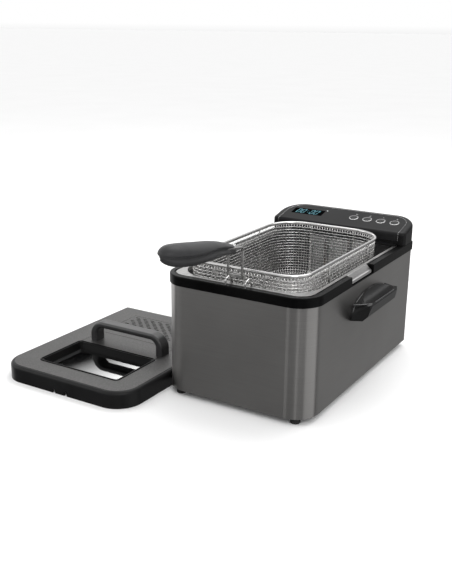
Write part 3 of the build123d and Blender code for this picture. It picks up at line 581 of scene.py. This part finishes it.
def grip_shape():
    """Ovals from neck to end, each with its own middle, half height and half width.

    A point at angle a is (wide * cos a, y, middle + tall * sin a), with cosine and sine raised to a
    power just under one for a fuller oval. Near an end both half sizes follow a quarter circle down
    to nothing: over 4 mm at the neck and 26 mm at the broad end. The crease takes off a narrow bell
    curve at the joint line and a wider, deeper one just below it, and fades out at the neck.
    """
    rows, around = 150, 220
    turn = np.linspace(0, np.pi, rows)
    y = (GRIP_Y[0] + GRIP_Y[-1]) / 2 + (GRIP_Y[0] - GRIP_Y[-1]) / 2 * np.cos(turn)
    close = np.minimum(1, np.minimum((GRIP_Y[0] - y) / 4, (y - GRIP_Y[-1]) / 26))
    close = np.sqrt(np.maximum(1 - (1 - close) ** 2, 0)) 
    middle = smooth_curve(y, GRIP_Y, GRIP_MIDDLE)
    tall = smooth_curve(y, GRIP_Y, GRIP_HALF_HEIGHT) * close
    wide = smooth_curve(y, GRIP_Y, GRIP_HALF_WIDTH) * close
    a = np.linspace(0, 2 * np.pi, around, endpoint=False)
    fullness = 0.95
    c = np.sign(np.cos(a)) * np.abs(np.cos(a)) ** fullness
    s = np.sign(np.sin(a)) * np.abs(np.sin(a)) ** fullness
    z = middle[:, None] + tall[:, None] * s
    crease = smooth_curve(y, CREASE_Y, CREASE_Z)[:, None]
    near = np.exp(-((z - crease) / 1.0) ** 2)
    cove = np.exp(-((z - crease + 3.2) / 3.2) ** 2) * (z < crease)
    neck = np.clip((-y[:, None] - 198) / 18, 0, 1)
    shrink = neck * (1.6 * near + 4.0 * cove) * np.abs(c) * np.minimum(1, wide[:, None] / 12)
    x = (wide[:, None] - shrink) * c
    points = np.stack([GRIP_X + x, np.repeat(y[:, None], around, 1), z], -1) * MM
    return add_mesh("grip", points.reshape(-1, 3), grid_faces(rows, around))


grip = grip_shape()
wear(grip, grip_plastic)
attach(grip, "basket")
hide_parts("grip_upper", "grip_lower")
print("grip quads:", len(grip.data.polygons))

# %% [markdown]
# ## Rims of the side handles
# Each side handle is a scoop with a moulded bead round its edge: up and over the arch against the steel
# wall, and out along the lip that the fingers curl under. Both are round beads laid along a few corners
# that have been rounded by averaging neighbours many times.

# %% Handle rims
WALL_X, LIP_ROOT_X, LIP_BEND_X, LIP_X, LIP_FACE_X = 124.6, 124.0, 147.2, 149.0, 149.6
ARCH_YZ = [(-57.6, 124), (-57.6, 141), (-46, 147.2), (-18, 155.2), (8, 157.2), (36, 155.4), (66, 147),
           (74, 139), (74, 124)]
LIP_XYZ = [(LIP_ROOT_X, -56.8, 146.5), (LIP_BEND_X, -45.0, 147.6), (LIP_X, -36, 147.8),
           (LIP_FACE_X, 8, 148.2), (LIP_X, 52, 147.8), (LIP_BEND_X, 60.4, 147.6), (LIP_ROOT_X, 72.6, 146.5)]
ARCH_RADIUS, LIP_RADIUS, RIM_SIDES = 1.2, 1.1, 8


def rounded_path(corners, count=90, passes=60):
    """Evenly spaced points along straight runs, then each inner point averaged with its neighbours.

    One pass gives every inner point a quarter of each neighbour and half of itself.
    """
    corners = np.array(corners, float)
    run = np.concatenate([[0], np.cumsum(np.linalg.norm(np.diff(corners, axis=0), axis=1))])
    at = np.linspace(0, run[-1], count)
    path = np.stack([np.interp(at, run, corners[:, k]) for k in range(3)], -1)
    for _ in range(passes):
        path[1:-1] = (path[:-2] + 2 * path[1:-1] + path[2:]) / 4
    return path


def handle_rim(name, side):
    """Arch bead and lip bead of one handle; side is +1 for the right one and -1 for the left one."""
    arch, lip = rounded_path([(WALL_X, y, z) for y, z in ARCH_YZ]), rounded_path(LIP_XYZ)
    beads = []
    for path, way, radius in ((arch, (1.0, 0, 0), ARCH_RADIUS), (lip, (0, 0, 1.0), LIP_RADIUS)):
        path = path * (side, 1, 1) * MM
        beads.append(tubes(path[None], np.tile(way, (len(path), 1))[None], radius * MM, RIM_SIDES))
    return add_mesh(name, *stack(*beads))


for name, side in (("handle_rim_right", 1), ("handle_rim_left", -1)):
    rim = handle_rim(name, side)
    wear(rim, rim_plastic)
    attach(rim, "housing")
    print(name, "quads:", len(rim.data.polygons))

# %% [markdown]
# ## The window's bead
# A black seal shows as a narrow round bead where the lid's steel plate meets the window. It is one wire
# laid along the window's rounded outline, half sunk in the plate.

# %% Window bead
BEAD_HALF_X, BEAD_HALF_Y, BEAD_CORNER = 79.2 * MM, 50.2 * MM, 7.5 * MM
BEAD_MIDDLE, BEAD_Z, BEAD_RADIUS = (-248.9 * MM, -200.8 * MM), 26.2 * MM, 1.5 * MM


def window_bead(count=240, sides=12):
    """A closed round bead along a rounded rectangle, its middle just under the plate's top."""
    edge, out = rounded_outline(count, BEAD_HALF_X, BEAD_HALF_Y, BEAD_CORNER, BEAD_CORNER)
    path = np.concatenate([edge + BEAD_MIDDLE, np.full((count, 1), BEAD_Z)], 1)
    side = np.concatenate([out, np.zeros((count, 1))], 1)
    return add_mesh("window_bead", *tubes(path[None], side[None], BEAD_RADIUS, sides, closed=True))


bead = window_bead()
wear(bead, black_plastic)
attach(bead, "lid")
print("bead quads:", len(bead.data.polygons))

# %% [markdown]
# ## The lit display
# The timer shows four digits of seven segments, all zeros, with a colon between the pairs. A segment is a
# short bar with pointed ends, six corners each. The digits lean forward, so a point's sideways place
# grows with its height by a fixed slope. They lie a hair above the window on the head's sloped top.

# %% Display digits
HEAD_SLOPE, HEAD_ORIGIN = math.radians(13.1), np.array([0, 151.0, 211.6])
SEGMENT_TALL, SEGMENT_LONG, SEGMENT_WIDE, LEAN = 7.0, 5.0, 0.6, 0.18
DIGIT_PLACES, DIGITS_MIDDLE = (-19.0, -10.0, 7.0, 16.0), (-70.5, 37.4)


def segment(middle_u, middle_v, upright):
    """A bar with pointed ends, along u or along v."""
    h, w = (SEGMENT_TALL if upright else SEGMENT_LONG) / 2, SEGMENT_WIDE / 2
    bar = np.array([(-h, 0), (w - h, w), (h - w, w), (h, 0), (h - w, -w), (w - h, -w)])
    if upright:
        bar = bar[::-1, ::-1]
    return bar + (middle_u, middle_v)


def on_head_plane(flat, lift):
    """Turn (u, v) on the head's sloped top into places in space, lift millimetres above it."""
    u, v = flat[:, 0] + LEAN * (flat[:, 1] - DIGITS_MIDDLE[1]), flat[:, 1]
    c, s = math.cos(HEAD_SLOPE), math.sin(HEAD_SLOPE)
    return np.stack([u, v * c - lift * s, v * s + lift * c], -1) + HEAD_ORIGIN


def display_digits():
    """Four zeros of six bars each, and two square dots between the pairs, all facing up."""
    n, m = SEGMENT_TALL + 0.4, (SEGMENT_LONG + 0.4) / 2
    zero = [(0, n, False), (0, -n, False), (m, n / 2, True), (-m, n / 2, True), (m, -n / 2, True),
            (-m, -n / 2, True)]
    u0, v0 = DIGITS_MIDDLE
    bars = [segment(u0 + d + u, v0 + v, up) for d in DIGIT_PLACES for u, v, up in zero]
    dot = np.array([(-0.5, -0.5), (0.5, -0.5), (0.5, 0.5), (-0.5, 0.5)])
    dots = [dot + (u0 - 1.5, v0 + v) for v in (-2.6, 2.6)]
    flat = np.concatenate(bars + dots)
    starts = np.cumsum([0] + [len(b) for b in bars + dots])
    turns = [list(range(a, b)) for a, b in zip(starts, starts[1:])]
    faces = [turn[::-1] if len(turn) == 6 else turn for turn in turns]
    mesh = bpy.data.meshes.new("display_digits")
    mesh.from_pydata(on_head_plane(flat, DIGIT_LIFT) * MM, [], faces)
    digits = bpy.data.objects.new("display_digits", mesh)
    bpy.context.scene.collection.objects.link(digits)
    return digits


def top_of(part):
    """How far a part of the head stands above its sloped top, in millimetres."""
    places = np.empty(3 * len(part.data.vertices), np.float32)
    part.data.vertices.foreach_get("co", places)
    places = places.reshape(-1, 3) / MM - HEAD_ORIGIN
    return float((places[:, 2] * math.cos(HEAD_SLOPE) - places[:, 1] * math.sin(HEAD_SLOPE)).max())


DIGIT_LIFT = top_of(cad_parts["display_window"]) + 0.05
digits = display_digits()
wear(digits, digit_glow)
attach(digits, "head")
normals = [round(p.normal.z, 2) for p in digits.data.polygons]
print("digit faces:", len(normals), "all face up:", min(normals) > 0, "lift:", round(DIGIT_LIFT, 2), "mm")

# %% [markdown]
# Pale printed marks stand behind the four buttons: a ring with a stem, a ring with two hands, a bar and a
# cross. Each is made of flat bars and flat rings laid on the head's sloped top. A thin chrome wire also
# follows the edge of the panel, down its front, round its back corners: a painted highlight along the
# panel's edge.

# %% Printed marks and the panel's painted edge highlight
BUTTON_U, MARK_V = (17.5, 42.5, 67.5, 92.5), 51.0
LINE_U, LINE_V, LINE_R, LINE_RADIUS = 112.5, 64.2, 30.5, 0.3


def flat_bar(u, v, wide, tall):
    """A rectangle by its middle and its two half sizes."""
    return np.array([(-wide, -tall), (wide, -tall), (wide, tall), (-wide, tall)]) + (u, v)


def upright(flat):
    """Take back the lean of the digits, which on_head_plane adds."""
    return flat - (LEAN * (flat[:, 1:] - DIGITS_MIDDLE[1])) * (1, 0)


def flat_ring(u, v, radius, thick, pieces=24):
    """Quads round a circle; each quad is one short piece of the ring."""
    turn = np.linspace(0, 2 * np.pi, pieces + 1)
    ring = np.stack([np.cos(turn), np.sin(turn)], -1)
    inner, outer = (u, v) + ring * (radius - thick), (u, v) + ring * radius
    return np.stack([inner[:-1], outer[:-1], outer[1:], inner[1:]], 1).reshape(-1, 2)


def printed_marks():
    """Ring with a stem, ring with two hands, bar and cross, one mark behind each button."""
    power, clock, minus, plus = BUTTON_U
    parts = [flat_ring(power, MARK_V, 1.7, 0.4), flat_bar(power, MARK_V + 1.4, 0.25, 1.0),
             flat_ring(clock, MARK_V, 1.7, 0.4), flat_bar(clock, MARK_V + 0.5, 0.2, 0.6),
             flat_bar(clock + 0.4, MARK_V, 0.5, 0.2), flat_bar(minus, MARK_V, 1.5, 0.3),
             flat_bar(plus, MARK_V, 1.5, 0.3), flat_bar(plus, MARK_V, 0.3, 1.5)]
    flat = np.concatenate(parts)
    points = on_head_plane(upright(flat), PANEL_LIFT)
    return add_mesh("printed_marks", points * MM, np.arange(len(flat)).reshape(-1, 4), smooth=False)


def painted_edge_highlight():
    """One chrome wire, a painted highlight along the panel's edge: up the front at the right, along the
    side, round both back corners, and down again.
    """
    turn = np.linspace(0, np.pi / 2, 16)
    quarter = np.stack([np.cos(turn), np.sin(turn)], -1)
    corner = (LINE_U - LINE_R, LINE_V - LINE_R) + LINE_R * quarter
    side = np.stack([np.full(12, LINE_U), np.linspace(0.5, LINE_V - LINE_R - 0.5, 12)], -1)
    half = np.concatenate([side, corner])
    flat = np.concatenate([half, half[::-1] * (-1, 1)])
    top = on_head_plane(upright(flat), 0.0)
    front_y = HEAD_ORIGIN[1] - 0.05
    drop = np.stack([np.full(8, LINE_U), np.full(8, front_y), np.linspace(197.0, 210.8, 8)], -1)
    path = np.concatenate([drop, top, drop[::-1] * (-1, 1, 1)]) * MM
    side_way = np.tile([0.3, 0.2, 0.93], (len(path), 1))
    # The chrome wire is a painted highlight: it stands in for the light caught by the panel's edge.
    return add_mesh("painted_edge_highlight", *tubes(path[None], side_way[None], LINE_RADIUS * MM, 6))


PANEL_LIFT = top_of(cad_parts["control_panel"]) + 0.03
pale_print = moulded("pale_print", (0.45, 0.45, 0.45), (0.5, 0.6), 500.0, 0.000005)
for piece, material, slot in ((printed_marks(), pale_print, "inner_plastic"),
                              (painted_edge_highlight(), bezel_chrome, "bright_steel")):
    wear(piece, material)
    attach(piece, "head")
print("marks lift:", round(PANEL_LIFT, 2), "mm")

# %% [markdown]
# ## Floor and light
# The fryer stands on a white sweep under large soft lamps: one in front at the right, a broad one above
# and behind for the tops, and a weak one at the left. The paper is left out of reflections, because the
# steel should show the dark lower room instead.

# %% Floor and lamps
FLOOR_HALF, MIDDLE = 60.0, (0.0, -0.05, 0.12)


def softbox(name, location, size, power):
    """An area lamp of a width and height, turned so that its face looks at the fryer's middle."""
    data = bpy.data.lights.new(name, "AREA")
    data.shape, data.size, data.size_y, data.energy = "RECTANGLE", size[0], size[1], power
    lamp = bpy.data.objects.new(name, data)
    aim = Vector(MIDDLE) - Vector(location)
    lamp.matrix_world = Matrix.Translation(location) @ aim.to_track_quat("-Z", "Y").to_matrix().to_4x4()
    bpy.context.scene.collection.objects.link(lamp)


def pale_floor():
    """A large square of white paper with a faint cloudiness."""
    corners = np.array([(-1, -1, 0), (1, -1, 0), (1, 1, 0), (-1, 1, 0)], float) * FLOOR_HALF
    floor = add_mesh("floor", corners, np.array([[0, 1, 2, 3]]))
    material, shader, add, links = finish("floor_paper", (0.94, 0.94, 0.94), 0.9)
    paper = blend_colors(add, grain(add, 3.0), (0.93, 0.93, 0.93), (0.95, 0.95, 0.95))
    links.new(paper, shader.inputs["Base Color"])
    wear(floor, material)
    floor.visible_glossy = False


pale_floor()
softbox("key", (1.6, -1.5, 1.7), (1.2, 1.2), 16)
softbox("overhead", (0.0, 0.9, 2.0), (1.8, 1.2), 20)
softbox("left_fill", (-1.9, -1.2, 1.0), (1.0, 1.6), 6)
print("floor and", len(bpy.data.lights), "lamps placed")

# %% [markdown]
# Polished and rubbed metal shows what stands round it. So the room is drawn for the reflections: dark low
# down, bright above, with tall cards where the round corners should show an upright band, and one card
# that fades from black to white for the lid's window. The cards only show in reflections.

# %% Room
LOW_ROOM, HIGH_ROOM = 0.13, 1.0


def room():
    """World colour by height of the direction: dark below the horizon, white from just above it."""
    world = bpy.data.worlds.new("studio")
    world.use_nodes = True
    nodes, links = world.node_tree.nodes, world.node_tree.links
    place = nodes.new("ShaderNodeTexCoord")
    split = nodes.new("ShaderNodeSeparateXYZ")
    ramp = nodes.new("ShaderNodeValToRGB")
    half = nodes.new("ShaderNodeMapRange")
    half.inputs["From Min"].default_value = -1
    links.new(place.outputs["Generated"], split.inputs[0])
    links.new(split.outputs["Z"], half.inputs[0])
    links.new(half.outputs[0], ramp.inputs[0])
    links.new(ramp.outputs[0], nodes["Background"].inputs[0])
    ramp.color_ramp.elements[0].position, ramp.color_ramp.elements[1].position = 0.46, 0.5
    ramp.color_ramp.elements[0].color = (LOW_ROOM, LOW_ROOM, LOW_ROOM, 1)
    ramp.color_ramp.elements[1].color = (HIGH_ROOM, HIGH_ROOM, HIGH_ROOM, 1)
    nodes["Background"].inputs[1].default_value = 1.0
    bpy.context.scene.world = world


room()
print("world:", bpy.context.scene.world.name)

# %% [markdown]
# A card stands at an azimuth, the angle from +X round to +Y, and at a distance from the fryer's origin.
# Bands on a round upright corner come from tall narrow cards: the corner turns through a right angle, so
# each direction round the room lands on its own upright line of the corner. The window lies level and
# sees a card far behind the fryer, so that card's fade from black to white becomes the window's fade.

# %% Reflection cards
def card(name, azimuth, distance, width, low, high, dim, bright, slant=0.0, fade=None):
    """An upright card facing the fryer, whose glow fades from dim to bright along its own width.

    The fade follows s - slant * z, where s is the place across the card: so with a slant the glow
    also changes with height. It runs between the two values of fade, or over the whole width.
    """
    turn = math.radians(azimuth)
    base = np.array([math.cos(turn), math.sin(turn), 0]) * distance
    side = np.array([-math.sin(turn), math.cos(turn), 0])
    points = np.stack([base - side * width / 2 + (0, 0, low), base + side * width / 2 + (0, 0, low),
                       base + side * width / 2 + (0, 0, high), base - side * width / 2 + (0, 0, high)])
    piece = add_mesh(name, points, np.array([[0, 1, 2, 3]]))
    material = bpy.data.materials.new(name)
    material.use_nodes = True
    nodes, links = material.node_tree.nodes, material.node_tree.links
    nodes.remove(nodes["Principled BSDF"])
    kinds = ("Emission", "TexCoord", "VectorMath", "MapRange")
    glow, place, dot, ramp = (nodes.new("ShaderNode" + kind) for kind in kinds)
    dot.operation = "DOT_PRODUCT"
    dot.inputs[1].default_value = side - (0, 0, slant)
    links.new(place.outputs["Object"], dot.inputs[0])
    links.new(dot.outputs["Value"], ramp.inputs[0])
    first, last = fade or (width / 2, -width / 2)
    for socket, value in (("From Min", first), ("From Max", last), ("To Min", dim), ("To Max", bright)):
        ramp.inputs[socket].default_value = value
    links.new(ramp.outputs[0], glow.inputs["Strength"])
    links.new(glow.outputs[0], nodes["Material Output"].inputs[0])
    wear(piece, material)
    piece.visible_camera = piece.visible_diffuse = False
    piece.visible_shadow = piece.visible_transmission = False


STRIP, WALL = {"distance": 2.6, "low": -1.6, "high": 1.2}, {"low": -1.5, "high": 1.4}
card("front_strip", azimuth=-104, width=0.3, dim=0.6, bright=0.6, **STRIP)
card("camera_strip", azimuth=-62, width=0.34, dim=0.7, bright=0.7, **STRIP)
card("right_card", azimuth=0, distance=2.2, width=2.3, dim=0.9, bright=0.75, **WALL)
card("side_card", azimuth=62, distance=2.4, width=1.8, dim=0.36, bright=0.32, **WALL)
card("left_card", azimuth=172, distance=2.2, width=1.5, dim=1.1, bright=1.1, **WALL)
card("window_card", azimuth=135.5, distance=4.0, width=0.86, low=1.42, high=1.95, dim=0.0, bright=8.5,
     slant=4.0, fade=(-6.45, -7.35))

# %% [markdown]
# ## Finish
# Then the frame puts each piece in its place.

# %% Finish
print("scene built")
